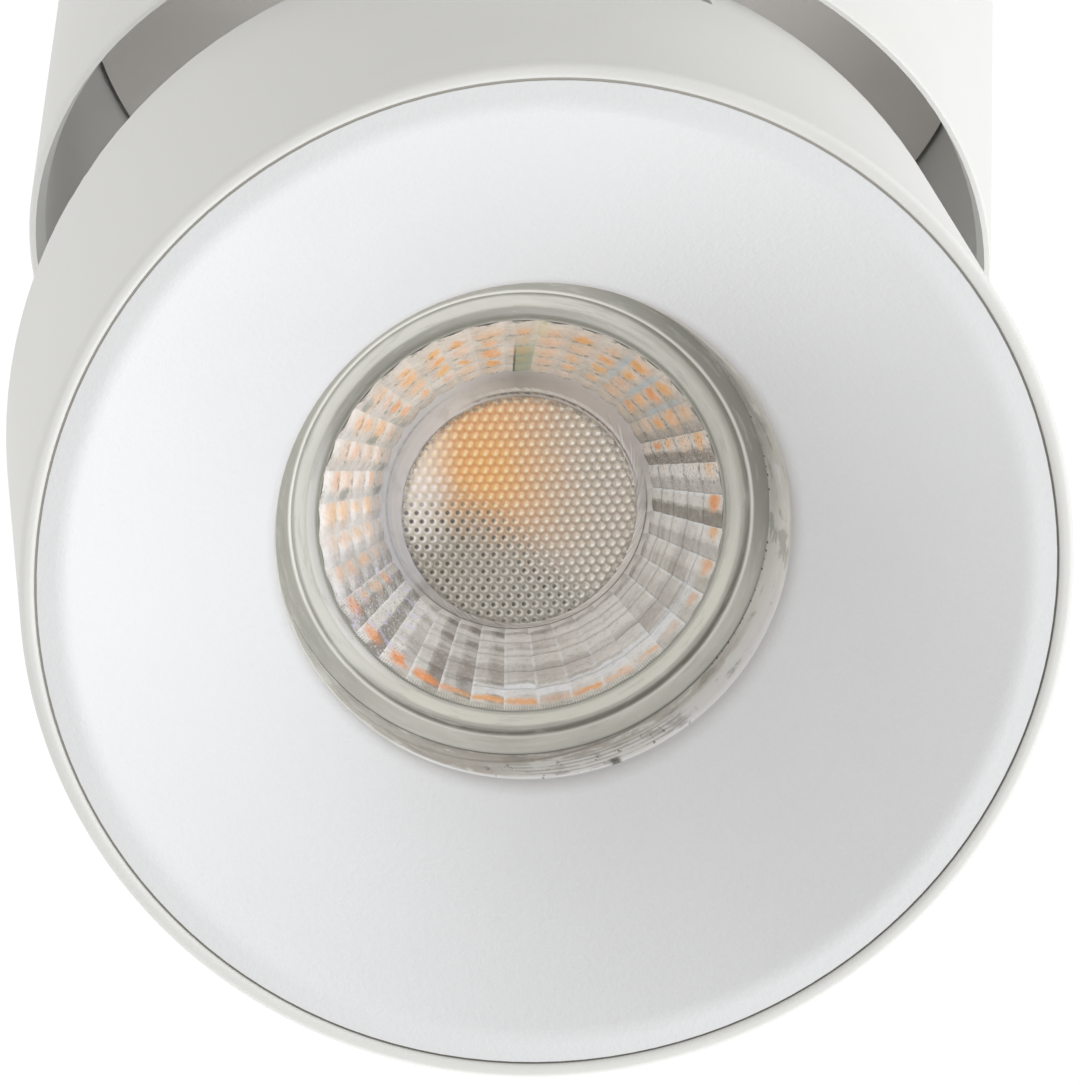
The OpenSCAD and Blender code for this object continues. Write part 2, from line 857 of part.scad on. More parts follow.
module heat_sink() {
    fin_pitch = (2 * sink_r - fin_t) / fin_count;
    fin_z = head_len + fin_root_t;
    color("silver")
        in_head()
            difference() {
                union() {
                    translate([0, 0, led_board_z + board_t])
                        cylinder(r = pedestal_r, h = flange_z - led_board_z - board_t + eps);
                    translate([0, 0, flange_z])
                        cylinder(r = flange_r, h = flange_t);
                    translate([0, 0, flange_z])
                        cylinder(r = sink_r, h = fin_z - flange_z);
                    intersection() {
                        translate([0, 0, fin_z - eps])
                            cylinder(r = sink_r, h = sink_rise - fin_root_t + eps);
                        for (i = [0:fin_count - 1])
                            translate([(i - (fin_count - 1) / 2) * fin_pitch - fin_t / 2, -sink_r, fin_z - eps])
                                cube([fin_t, 2 * sink_r, sink_rise - fin_root_t + eps]);
                    }
                }
                around(sink_screw_angles)
                    translate([sink_screw_r, 0, flange_z - eps])
                        cylinder(r = m3_tap_r, h = flange_t + 2 * eps);
                for (x = [-1, 1])
                    translate([x * led_screw_x, 0, led_board_z + board_t - eps])
                        cylinder(r = m3_tap_r, h = led_screw_bite + 1);
            }
}

module heat_sink_screws() {
    color("silver")
        in_head()
            around(sink_screw_angles)
                translate([sink_screw_r, 0, head_len])
                    rotate([180, 0, 0])
                        pan_screw(m3_r, m3_head_r, m3_head_h, shell_wall + flange_t - 0.2);
}

module led_board() {
    color("whitesmoke")
        in_head()
            translate([0, 0, led_board_z])
                difference() {
                    cylinder(r = led_board_r, h = board_t);
                    for (x = [-1, 1])
                        translate([x * led_screw_x, 0, -eps])
                            cylinder(r = m3_clear_r, h = board_t + 2 * eps);
                }
}

module led_emitter() {
    color("orange")
        in_head()
            translate([0, 0, emitter_z])
                cylinder(d = emitter_d, h = emitter_t);
}

module led_frame() {
    color("white")
        in_head()
            translate([0, 0, led_board_z - led_frame_t])
                difference() {
                    cylinder(r = led_board_r, h = led_frame_t);
                    translate([0, 0, -eps])
                        cylinder(r = emitter_d / 2 + led_window_gap, h = led_frame_t + 2 * eps);
                    for (x = [-1, 1])
                        translate([x * led_screw_x, 0, -eps])
                            cylinder(r = m3_clear_r, h = led_frame_t + 2 * eps);
                }
}

module led_frame_screws() {
    color("silver")
        in_head()
            for (x = [-1, 1])
                translate([x * led_screw_x, 0, led_board_z - led_frame_t])
                    pan_screw(m3_r, m3_head_r, m3_head_h, led_frame_t + board_t + led_screw_bite);
}

module lens_holder() {
    holder_top = throat_depth + 0.8;
    color("dimgray")
        in_head()
            rotate_extrude()
                polygon([[holder_in_r, holder_top], [holder_out_r, holder_top], [holder_out_r, flange_z],
                    [holder_in_r, flange_z], [holder_in_r, lens_back_z + holder_lap],
                    [lens_r - holder_lap, lens_back_z + holder_lap], [lens_r - holder_lap, lens_back_z],
                    [holder_in_r, lens_back_z]]);
}

module lens() {
    facet_r = facet_zone_d / 2;
    centre_r = centre_disc_d / 2;
    centre_z = lens_face_depth + centre_sink;
    bowl_z = lens_face_depth + bowl_sink;
    pillar_slope = 0.8;
    bowl_floor_w = 1.2;
    step_r = ring_step_d / 2;
    step_z = lens_face_depth - ring_step_h;
    collar_in_r = lens_r - collar_t;
    cup_z = lens_body_end_z - lens_cup_depth;
    color("lightcyan", 0.5)
        in_head()
            rotate_extrude()
                polygon([[0, centre_z], [centre_r, centre_z],
                    [centre_r + pillar_slope, bowl_z], [centre_r + pillar_slope + bowl_floor_w, bowl_z],
                    [facet_r, lens_face_depth - facet_rise], [facet_r + 0.3, lens_face_depth],
                    [step_r, lens_face_depth], [step_r, step_z], [collar_in_r, step_z],
                    [collar_in_r, throat_depth], [lens_r, throat_depth], [lens_r, lens_back_z],
                    [lens_body_r, lens_back_z], [lens_body_end_r, lens_body_end_z],
                    [lens_cup_r, lens_body_end_z], [lens_cup_r - lens_cup_taper, cup_z], [0, cup_z]]);
}

// Half section of the baffle, as radius and depth: its front, then its back from the throat outward
function baffle_section() =
    let (back = baffle_wall * [sin(cone_angle), cos(cone_angle)],
        cone_end = lip_centre - lip_r * [sin(cone_angle), cos(cone_angle)],
        cone_start = band_centre - band_blend_r * [sin(cone_angle), cos(cone_angle)],
        skirt_r = baffle_r - baffle_wall)
    concat([[baffle_r, front_inset]],
        arc(band_centre, band_blend_r, 270, 270 - cone_angle),
        arc(lip_centre, lip_r, 270 - cone_angle, 180),
        [[throat_r, throat_depth], [throat_r + baffle_wall, throat_depth], cone_end + back,
            cone_start + back, [skirt_r, front_inset + baffle_wall + 1], [skirt_r, skirt_depth],
            [baffle_r, skirt_depth]]);

module baffle() {
    leg_out_r = shell_in_r - ledge_w - 0.4;
    leg_in_r = leg_out_r - 1.3;
    leg_z = front_inset + baffle_wall - 0.2;
    hook_z = skirt_depth + ledge_t + 0.2;
    hook_end_z = hook_z + 1.6;
    color("white")
        in_head() {
            rotate_extrude()
                polygon(baffle_section());
            around([60, 180, 300])
                rotate([0, 0, -snap_leg_angle / 2])
                    rotate_extrude(angle = snap_leg_angle)
                        polygon([[leg_in_r, leg_z], [leg_out_r, leg_z], [leg_out_r, hook_z],
                            [leg_out_r + ledge_w, hook_z], [leg_out_r, hook_end_z], [leg_in_r, hook_end_z]]);
        }
}

ceiling_plate();
cable_grommet();
side_screws();
base_tube();
terminal_block();
terminal_screws();
earth_screw();
driver_case();
driver_cover();
driver_board();
driver_components();
bulkhead();
bulkhead_screws();
turntable_disc();
stop_pin();
thrust_washer();
pivot_tube();
pivot_bush();
spring_washer();
pivot_nut();
hinge_arm();
arm_screws();
hinge_bolt();
hinge_nut();
friction_washers();
hinge_ears();
ear_screws();
head_shell();
lead_grommet();
heat_sink();
heat_sink_screws();
led_board();
led_emitter();
led_frame();
led_frame_screws();
lens_holder();
lens();
baffle();
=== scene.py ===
"""Surface mounted ceiling downlight with a fold-out head: materials, lens detail, light and camera."""
import math
import bpy
from mathutils import Matrix, Vector


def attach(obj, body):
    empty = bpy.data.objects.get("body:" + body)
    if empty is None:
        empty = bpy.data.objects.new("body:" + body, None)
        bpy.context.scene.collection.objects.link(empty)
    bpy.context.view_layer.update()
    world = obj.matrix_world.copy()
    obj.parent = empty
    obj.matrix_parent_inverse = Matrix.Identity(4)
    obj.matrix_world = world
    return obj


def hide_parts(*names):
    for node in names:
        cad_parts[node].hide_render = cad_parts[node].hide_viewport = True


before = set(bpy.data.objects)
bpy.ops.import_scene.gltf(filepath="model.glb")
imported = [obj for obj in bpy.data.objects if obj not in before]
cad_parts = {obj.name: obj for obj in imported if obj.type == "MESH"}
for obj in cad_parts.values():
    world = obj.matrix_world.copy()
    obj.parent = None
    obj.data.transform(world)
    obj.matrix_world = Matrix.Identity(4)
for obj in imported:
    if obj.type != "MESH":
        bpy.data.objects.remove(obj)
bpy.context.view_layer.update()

MM = 0.001
# The head's hinge, its fold from straight down, and the depth of the hinge behind the front rim
HINGE = Vector((0, -40, -92)) * MM
TILT = math.radians(30.9)
PIVOT_DEPTH = 45 * MM
# Turn of the lens's zero angle from the head's X axis
LENS_TURN = math.radians(14.5)
# The bowl's petals, the angle of one petal's edge, and the rings of facets
PETALS = 36
PETAL_DEG = 360 / PETALS
EDGE_DEG = 4.9
ROWS = 5
# Sizes of the lens, in mm: how far its features lie off the throat's centre, then the centre disc's radius and depth
# and the distance of its domes, then the bowl's inner and outer depth, and its radius as a + b v + c v2 with v from 0
# at the bottom to 1 at the ring
OFF_CENTRE = (-0.6, 0.32)
CENTRE_R, DISC_DEPTH, DOME = 11.5, 24.6, 1.0
BOWL_DEPTH = (27.6, 22.4)
BOWL_R = (13.5, 4.05, 2.25)
# Distance of the rows over that of the domes, in a lattice of equal triangles
LATTICE_ROW = 0.8660254
# A texture's v of 1 is this radius in mm, where v stands for a radius
V_SCALE = 30
# Fine ribs where the petals end below, per degree
RIBS = 1.3
# The lens lies deep in the funnel and gets less light, so its colours are written brighter than they look, up to a
# brightest tone
LENS_GAIN = 1.32
TOP_TONE = 0.95
GLINT, GLINT_WARM = (TOP_TONE, TOP_TONE, TOP_TONE), (TOP_TONE, TOP_TONE, 0.94)
GLINT_LILAC, GLINT_AMBER = (TOP_TONE, 0.94, TOP_TONE), (TOP_TONE, 0.94, 0.92)


class Mat:
    """A node material that is put together with short calls."""

    def __init__(self, name):
        self.mat = bpy.data.materials.new(name)
        self.mat.use_nodes = True
        self.tree = self.mat.node_tree
        self.tree.nodes.clear()
        self.coords = self.node("ShaderNodeTexCoord")

    def node(self, kind, **values):
        made = self.tree.nodes.new(kind)
        for key, value in values.items():
            setattr(made, key, value)
        return made

    def put(self, socket, value):
        if isinstance(value, bpy.types.NodeSocket):
            self.tree.links.new(value, socket)
        elif isinstance(value, (tuple, list)) and len(value) == 3 and socket.type == "RGBA":
            socket.default_value = (*value, 1)
        else:
            socket.default_value = value

    def feed(self, made, **values):
        """Fills a node's inputs by name, with _ for a space"""
        for key, value in values.items():
            self.put(made.inputs[key.replace("_", " ")], value)
        return made

    def math(self, op, *values):
        made = self.node("ShaderNodeMath", operation=op)
        for socket, value in zip(made.inputs, values):
            self.put(socket, value)
        return made.outputs[0]

    def add(self, a, b):
        return self.math("ADD", a, b)

    def sub(self, a, b):
        return self.math("SUBTRACT", a, b)

    def mul(self, a, b):
        return self.math("MULTIPLY", a, b)

    def div(self, a, b):
        return self.math("DIVIDE", a, b)

    def away(self, value, centre):
        """How far a value is from a centre, whichever side it is on"""
        return self.math("ABSOLUTE", self.sub(value, centre))

    def span(self, value, low, high, to_low=0.0, to_high=1.0):
        """value from low to high, smoothly, as to_low to to_high"""
        made = self.node("ShaderNodeMapRange", interpolation_type="SMOOTHSTEP")
        for socket, v in zip(made.inputs, (value, low, high, to_low, to_high)):
            self.put(socket, v)
        return made.outputs[0]

    def noise(self, vector, scale, detail=3, rough=0.55, output="Fac"):
        made = self.feed(self.node("ShaderNodeTexNoise"), Vector=vector, Scale=scale, Detail=detail, Roughness=rough)
        return made.outputs[output]

    def patches(self, x, y, detail, rough, layer=0.0, output="Fac"):
        """Noise over two values, each given with its scale"""
        return self.noise(self.join(self.mul(*x), self.mul(*y), layer), 1.0, detail, rough, output)

    def random(self, vector):
        return self.feed(self.node("ShaderNodeTexWhiteNoise", noise_dimensions="3D"), Vector=vector).outputs["Value"]

    def join(self, x, y, z=0.0):
        return self.feed(self.node("ShaderNodeCombineXYZ"), X=x, Y=y, Z=z).outputs[0]

    def split(self, vector):
        return self.feed(self.node("ShaderNodeSeparateXYZ"), Vector=vector).outputs

    def mix(self, factor, a, b):
        made = self.node("ShaderNodeMix", data_type="RGBA")
        self.put(made.inputs["Factor"], factor)
        # The colour inputs A and B share their names with the inputs for numbers and vectors
        self.put(made.inputs[6], a)
        self.put(made.inputs[7], b)
        return made.outputs[2]

    def ramp(self, value, stops):
        made = self.node("ShaderNodeValToRGB")
        ramp = made.color_ramp
        while len(ramp.elements) < len(stops):
            ramp.elements.new(0.5)
        for element, (place, colour) in zip(ramp.elements, stops):
            element.position = place
            element.color = (*colour, 1)
        self.put(made.inputs[0], value)
        return made.outputs[0]

    def bump(self, height, strength, distance):
        return self.feed(self.node("ShaderNodeBump"), Height=height, Strength=strength, Distance=distance).outputs[0]

    def done(self, **values):
        shader = self.feed(self.node("ShaderNodeBsdfPrincipled"), **values)
        out = self.node("ShaderNodeOutputMaterial")
        self.tree.links.new(shader.outputs[0], out.inputs[0])
        return self.mat


def srgb(r, g, b):
    """An 8-bit display colour as linear light"""
    return tuple((c / 255 / 12.92) if c <= 10 else ((c / 255 + 0.055) / 1.055) ** 2.4 for c in (r, g, b))


def times(colour, factor):
    return tuple(c * factor for c in colour)


# Noise scales in these materials are per metre
def powder(name, colour, grain=1.0, dirt=0.03, rough=0.55):
    """Fine textured powder coat: orange peel, grain, and a little unevenness in colour and gloss"""
    m = Mat(name)
    at = m.coords.outputs["Object"]
    broad = m.noise(at, 60)
    peel = m.noise(at, 1500, 2, 0.5)
    fine = m.noise(at, 3200, 2, 0.6)
    shade = m.mix(m.span(broad, 0.3, 0.7), times(colour, 1 - dirt), colour)
    shade = m.mix(m.span(fine, 0.35, 0.75, 0, 0.05 * grain), shade, times(colour, 0.82))
    height = m.add(m.mul(peel, 0.6), m.mul(fine, 0.4))
    return m.done(Base_Color=shade, Roughness=m.span(broad, 0.3, 0.7, rough - 0.05, rough + 0.05),
                  Normal=m.bump(height, 0.35 * grain, 0.00012))


def metal(name, colour, rough=0.32, brush=0.0):
    """Plated or cast metal with fine scratches or blasted grain"""
    m = Mat(name)
    at = m.coords.outputs["Object"]
    grain = m.noise(at, 2600)
    broad = m.noise(at, 140, 4)
    lines = m.feed(m.node("ShaderNodeTexWave", bands_direction="Z"), Vector=at, Scale=700, Distortion=6, Detail=3)
    height = m.add(m.mul(lines.outputs["Fac"], brush), m.mul(grain, 1 - brush))
    shade = m.mix(m.span(broad, 0.35, 0.7), times(colour, 0.82), colour)
    return m.done(Base_Color=shade, Metallic=0.9, Roughness=m.span(broad, 0.3, 0.7, rough - 0.08, rough + 0.1),
                  Normal=m.bump(height, 0.25, 0.00005))


def moulded(name, colour, rough=0.45, grain=0.15):
    """Moulded plastic or rubber with a faint spark-eroded grain"""
    m = Mat(name)
    at = m.coords.outputs["Object"]
    fine = m.noise(at, 2400)
    broad = m.noise(at, 90)
    shade = m.mix(m.span(broad, 0.3, 0.7), times(colour, 0.93), colour)
    return m.done(Base_Color=shade, Roughness=m.span(fine, 0.3, 0.7, rough - 0.06, rough + 0.06),
                  Normal=m.bump(fine, grain, 0.00006))


def dress(nodes, material):
    """Gives CAD nodes, named in one text, a material"""
    for name in nodes.split():
        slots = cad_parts[name].data.materials
        slots.clear()
        slots.append(material)


WHITE = srgb(229, 229, 226)
shell_white = powder("powder_coat_white", WHITE)
# The inside coat is written paler than the shell's, as painted light for the turntable disc deep in the shaded recess
inside_white = powder("powder_coat_inside", srgb(246, 242, 238), grain=0.8, rough=0.4)
baffle_white = powder("baffle_white", srgb(232, 233, 235), grain=1.8, dirt=0.015, rough=0.5)
zinc = metal("zinc_plated_steel", (0.62, 0.63, 0.65), 0.3, 0.5)
cast = metal("blasted_aluminium", (0.66, 0.67, 0.68), 0.42, 0.1)
white_plastic = moulded("white_plastic", (0.78, 0.78, 0.76))
nylon = moulded("natural_nylon", (0.72, 0.68, 0.58))
rubber = moulded("grey_rubber", (0.035, 0.035, 0.036), 0.6, 0.3)
black_plastic = moulded("black_plastic", (0.02, 0.02, 0.022), 0.4)
board_green = moulded("solder_resist_green", (0.02, 0.12, 0.05), 0.3, 0.1)
board_white = moulded("solder_resist_white", (0.75, 0.75, 0.73), 0.3, 0.1)
holder_grey = moulded("holder_plastic", (0.5, 0.5, 0.47), 0.4)
amber = moulded("phosphor_amber", srgb(244, 176, 84), 0.35, 0.2)

dress("base_tube head_shell hinge_arm", shell_white)
dress("turntable_disc", inside_white)
dress("baffle", baffle_white)
dress("ceiling_plate side_screws earth_screw terminal_screws bulkhead_screws stop_pin spring_washer pivot_tube "
      "pivot_nut arm_screws hinge_bolt hinge_nut hinge_ears ear_screws heat_sink_screws led_frame_screws", zinc)
dress("heat_sink bulkhead", cast)
dress("driver_case driver_cover terminal_block led_frame", white_plastic)
dress("thrust_washer friction_washers", nylon)
dress("cable_grommet pivot_bush lead_grommet", rubber)
dress("driver_board", board_green)
dress("driver_components", black_plastic)
dress("led_board", board_white)
dress("lens_holder", holder_grey)
dress("led_emitter", amber)

# The head's own frame: the front rim at zero, depth upward along z, the hinge on the -y side
HEAD = (Matrix.Translation(HINGE) @ Matrix.Rotation(-TILT, 4, "X")
        @ Matrix.Translation(Vector((0, -HINGE.y, -PIVOT_DEPTH))))


def piece(name, points, faces, material, uvs):
    """A mesh piece of the head, from points in mm in the head's frame"""
    mesh = bpy.data.meshes.new(name)
    mesh.from_pydata([HEAD @ (Vector(p) * MM) for p in points], [], faces)
    layer = mesh.uv_layers.new(name="UVMap")
    for loop, uv in zip(layer.data, uvs):
        loop.uv = uv
    mesh.shade_smooth()
    mesh.materials.append(material)
    made = bpy.data.objects.new(name, mesh)
    bpy.context.scene.collection.objects.link(made)
    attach(made, "head")
    return made


def around(angle, radius, depth, centring=1.0):
    """A point of the lens at an angle, counted as the photograph shows it. The lens sits a little off the throat's
    centre, and centring says how much of that the point has."""
    a = angle + LENS_TURN
    return (centring * OFF_CENTRE[0] + radius * math.cos(a), centring * OFF_CENTRE[1] - radius * math.sin(a), depth)


def lathe(name, profile, material, steps=216):
    """A surface of revolution of (radius, depth, centring, v) points, with the angle as u. Centring can be left out,
    and so can v, which is then the radius."""
    n = len(profile)
    points = [around(math.tau * k / steps, *p[:3]) for k in range(steps) for p in profile]
    vs = [p[3] if len(p) > 3 else p[0] / V_SCALE for p in profile]
    faces, uvs = [], []
    for k in range(steps):
        for i in range(n - 1):
            faces.append((k * n + i, (k + 1) % steps * n + i, (k + 1) % steps * n + i + 1, k * n + i + 1))
            uvs += [((k + dk) / steps, vs[j]) for dk, j in ((0, i), (1, i), (1, i + 1), (0, i + 1))]
    return piece(name, points, faces, material, uvs)


class LensMat(Mat):
    """Tones of the clear lens by angle, as in the photograph, and by radius"""

    def __init__(self, name):
        super().__init__(name)
        self.u, self.v, _ = self.split(self.coords.outputs["UV"])
        self.degrees = self.mul(self.u, 360)

    def gap(self, centre):
        """How many degrees this point is from a given angle, from -180 to 180"""
        turned = self.add(self.degrees, 540 - centre)
        return self.sub(self.math("FLOORED_MODULO", turned, 360), 180)

    def arc(self, low, high, soft=8):
        """1 between two angles in degrees and 0 outside, with soft ends"""
        away = self.math("ABSOLUTE", self.gap((low + high) / 2))
        half = (high - low) / 2
        return self.span(away, half - soft / 2, half + soft / 2, 1, 0)

    def lobe(self, centre):
        """1 at an angle, falling to -1 on the far side"""
        return self.math("COSINE", self.math("RADIANS", self.sub(self.degrees, centre)))

    def band(self, value, low, high, soft=0.08):
        """1 where a value is between two others, with soft ends"""
        middle, half = (low + high) / 2, (high - low) / 2
        return self.span(self.away(value, middle), half - soft / 2, half + soft / 2, 1, 0)

    def both(self, *masks):
        made = masks[0]
        for mask in masks[1:]:
            made = self.mul(made, mask)
        return made

    def over(self, base, colour, *masks):
        return self.mix(self.both(*masks), base, colour)

    def circle(self, stops):
        """A colour ramp round the lens: pairs of an angle in degrees and a colour"""
        return self.ramp(self.u, [(a / 360, c) for a, c in stops] + [(1.0, stops[0][1])])

    def profile(self, value, low, high, stops):
        """A colour ramp across the lens: pairs of a radius in mm and a colour"""
        width = high - low
        return self.ramp(self.div(self.sub(value, low), width), [((at - low) / width, c) for at, c in stops])

    def streaks(self, r, round_scale, out_scale, scale, rough):
        """Noise that runs along the lens's rings, without a seam"""
        x, y = (self.mul(self.lobe(centre), round_scale) for centre in (0, 90))
        return self.noise(self.join(x, y, self.mul(r, out_scale)), scale, 4, rough)

    def ribs(self, low, high, to_low, to_high):
        """Fine radial lines"""
        return self.span(self.math("SINE", self.mul(self.degrees, math.tau * RIBS)), low, high, to_low, to_high)


def seen(r, g, b):
    """A colour of the lens as it looks in place, with the light, shade and reflections seen in it painted in"""
    colour = srgb(r, g, b)
    return times(colour, min(LENS_GAIN, TOP_TONE / max(colour)))


def grey(value, warm=8):
    """A grey with a little of the acrylic's yellow-green"""
    return seen(value, value - 0.1 * warm, value - warm)


def ring_look():
    """The lens's smooth flat ring with its step"""
    m = LensMat("lens_ring")
    r = m.mul(m.v, V_SCALE)
    base = m.profile(r, 19.7, 24.5, [
        (19.7, grey(172)), (20.0, grey(152)), (20.3, grey(186, 9)), (21.2, grey(200, 9)), (22.1, grey(160, 9)),
        (22.4, grey(140)), (22.9, grey(164, 8)), (24.4, grey(158, 8))])
    # Painted light and shade by side: brightest at the left, darkest at the right
    top, left, bottom, right = m.arc(58, 182, 50), m.arc(160, 232, 34), m.arc(232, 352, 34), m.arc(-8, 58, 40)
    for side, low, high, tone, warm in (
            (top, 20.05, 20.95, 160, 7), (top, 21.2, 22.1, 204, 7),
            (left, 20.05, 20.95, 250, 2), (left, 21.1, 22.1, 208, 5),
            (bottom, 20.5, 21.6, 213, 11), (bottom, 22.05, 22.5, 112, 11), (bottom, 22.7, 24.2, 190, 9),
            (right, 22.0, 22.45, 138, 12), (right, 22.7, 24.5, 138, 9)):
        base = m.over(base, grey(tone, warm), side, m.band(r, low, high, 0.3))
    # The top of the step catches the light all the way round
    crest = m.circle([(0, grey(216, 5)), (90, grey(222, 6)), (180, grey(212, 5)), (225, grey(200, 7)),
                      (270, grey(192, 9)), (330, grey(206, 8))])
    base = m.over(base, crest, m.band(r, 22.46, 22.76, 0.26))
    # Painted light and dark streaks along the ring; the same noise makes its bump
    streak = m.streaks(r, 2.6, 0.9, 2.2, 0.62)
    base = m.mix(m.span(streak, 0.5, 0.74, 0.0, 0.26), base, grey(226, 5))
    base = m.mix(m.span(streak, 0.48, 0.3, 0.0, 0.24), base, grey(140))
    # Fine ribs where the petals end below
    base = m.over(base, grey(104), m.band(r, 19.8, 20.2, 0.14), m.arc(204, 318, 30), m.ribs(-0.6, 0.9, 0.1, 0.6))
    specks = m.patches((m.degrees, 0.9), (r, 6), 2, 0.6)
    base = m.mix(m.span(specks, 0.71, 0.76, 0.0, 0.4), base, grey(92))
    return m.done(Base_Color=base, Roughness=0.26, Coat_Weight=0.4, Coat_Roughness=0.08,
                  Normal=m.bump(streak, 0.12, 0.0003))


def wall_look():
    """The collar's inner wall and its rim, with a painted bright reflection and small painted dark marks at the lower
    right.
    Its v runs from 0 at the ring to 1 at the rim's outer edge."""
    m = LensMat("lens_wall")
    up = m.v
    base = m.circle([(0, grey(220, 6)), (24, grey(186)), (60, grey(222, 4)), (150, grey(190)), (205, grey(180, 9)),
                     (258, seen(178, 171, 165)), (325, seen(190, 186, 179)), (340, grey(226, 5))])
    # A painted bright reflection on the wall at the lower right, with painted thin dark lines across it
    white = m.both(m.arc(264, 344, 24), m.span(m.add(up, m.mul(m.lobe(300), 0.08)), 0.40, 0.58))
    base = m.mix(m.mul(white, 0.95), base, GLINT_LILAC)
    rows = m.math("SINE", m.mul(up, 58))
    base = m.over(base, grey(146), m.arc(266, 306, 10), m.span(rows, -0.1, 0.8, 0.0, 0.6), m.span(up, 0.3, 0.4),
                  m.span(up, 0.84, 0.78))
    wave = m.patches((m.degrees, 0.1), (up, 2.6), 4, 0.62)
    base = m.over(base, grey(126, 5), m.span(wave, 0.53, 0.63, 0.0, 0.5), m.span(m.arc(45, 110, 20), 0, 1, 1.0, 0.3))
    base = m.mix(m.span(wave, 0.48, 0.38, 0.0, 0.85), base, GLINT_WARM)
    # A thick dark line that comes down from the middle of the wall at the bottom
    line = m.span(m.away(up, m.span(m.degrees, 222, 315, 0.62, 0.03)), 0.07, 0.02)
    base = m.over(base, seen(112, 104, 96), line, m.arc(226, 312, 14), m.span(wave, 0.3, 0.6, 0.85, 0.35))
    # The rim
    rim = m.mix(m.arc(238, 352, 14), grey(196, 7), GLINT)
    base = m.over(base, rim, m.span(up, 0.84, 0.9))
    base = m.over(base, grey(128), m.span(up, 0.93, 0.98), m.arc(-70, 76, 40))
    # Small painted dark marks in the bright reflection
    reflection_marks = m.span(m.patches((m.degrees, 0.42), (up, 2.6), 3, 0.7), 0.58, 0.66)
    base = m.over(base, grey(100), reflection_marks, m.arc(258, 308, 16), m.span(up, 0.35, 0.6, 0.2, 0.8))
    # A small dark mark on the wall's rim at the lower right
    dark_mark = m.both(m.span(m.math("ABSOLUTE", m.gap(289)), 1.6, 0.5), m.span(up, 0.7, 0.82))
    base = m.mix(m.mul(dark_mark, 0.85), base, grey(72))
    # Where the wall meets the ring
    base = m.over(base, grey(112), m.span(up, 0.11, 0.02), m.arc(205, 345, 30))
    specks = m.noise(m.join(m.mul(m.degrees, 1.1), 5.0), 1.0, 1, 0.5)
    base = m.over(base, grey(60), m.span(up, 0.12, 0.06), m.span(specks, 0.58, 0.62), m.arc(320, 420, 10))
    return m.done(Base_Color=base, Roughness=0.2, Coat_Weight=0.6, Coat_Roughness=0.06,
                  Normal=m.bump(wave, 0.15, 0.0003))


def floor_of_bowl_look():
    """The bottom of the faceted bowl and the side of the centre pillar: painted pale light on the left, painted light
    and dark streaks on the right
    """
    m = LensMat("lens_bowl_floor")
    r = m.mul(m.v, V_SCALE)
    base = m.circle([(0, seen(186, 181, 178)), (60, seen(188, 181, 177)), (90, seen(174, 168, 163)),
                     (120, seen(232, 229, 228)), (185, seen(240, 240, 248)), (210, seen(228, 228, 234)),
                     (222, seen(180, 176, 172)), (262, seen(178, 172, 166)), (335, seen(222, 217, 211))])
    petal = m.math("FRACT", m.div(m.sub(m.degrees, EDGE_DEG), PETAL_DEG))
    outer = m.span(r, 12.7, 12.85)
    below = m.arc(222, 366, 24)
    # Painted light on the petals' feet at the lower side, with a painted shaded half on each petal
    base = m.over(base, seen(212, 207, 203), below, outer)
    base = m.over(base, seen(150, 146, 142), below, outer, m.span(petal, 0.45, 0.95, 0.0, 0.5))
    base = m.over(base, seen(126, 122, 116), below, m.band(r, 12.62, 12.82, 0.14))
    # Painted light and dark slanting streaks on the pillar's side
    slanted = m.sub(m.mul(m.degrees, 0.34), m.mul(r, 3.2))
    slant = m.noise(m.join(slanted, m.mul(r, 0.4)), 1.0, 2, 0.6)
    sides = m.both(m.arc(232, 400, 24), m.span(r, 12.75, 12.6))
    base = m.over(base, seen(248, 246, 244), sides, m.span(slant, 0.54, 0.64, 0.0, 0.85))
    base = m.over(base, seen(132, 126, 122), sides, m.span(slant, 0.44, 0.34, 0.0, 0.7))
    # Two thin lines at the upper right and two bright ones at the left
    sway = m.add(r, m.mul(slant, 0.25))
    above = m.arc(18, 112, 24)
    base = m.over(base, seen(240, 240, 240), above, m.band(sway, 12.0, 12.22, 0.14), m.span(slant, 0.3, 0.6, 0.9, 0.4))
    base = m.over(base, seen(96, 94, 92), above, m.band(sway, 11.84, 11.98, 0.1), m.span(slant, 0.35, 0.6, 0.3, 0.9))
    left = m.arc(124, 216, 24)
    base = m.over(base, GLINT, left, m.band(r, 13.0, 13.16, 0.1))
    base = m.over(base, GLINT, left, m.band(r, 12.1, 12.4, 0.2))
    base = m.over(base, seen(170, 168, 172), left, m.band(r, 12.76, 12.9, 0.12), m.span(slant, 0.3, 0.6, 0.2, 0.6))
    haze = m.streaks(r, 3, 0.6, 2.0, 0.6)
    base = m.mix(m.span(haze, 0.5, 0.72, 0.0, 0.25), base, grey(160, 6))
    # Broken dark spots where the pillar meets its disc
    base = m.over(base, seen(110, 108, 104), m.span(r, 11.62, 11.5), m.span(haze, 0.4, 0.6, 0.3, 0.8))
    return m.done(Base_Color=base, Roughness=0.24, Coat_Weight=0.5, Coat_Roughness=0.06,
                  Normal=m.bump(haze, 0.15, 0.0003))


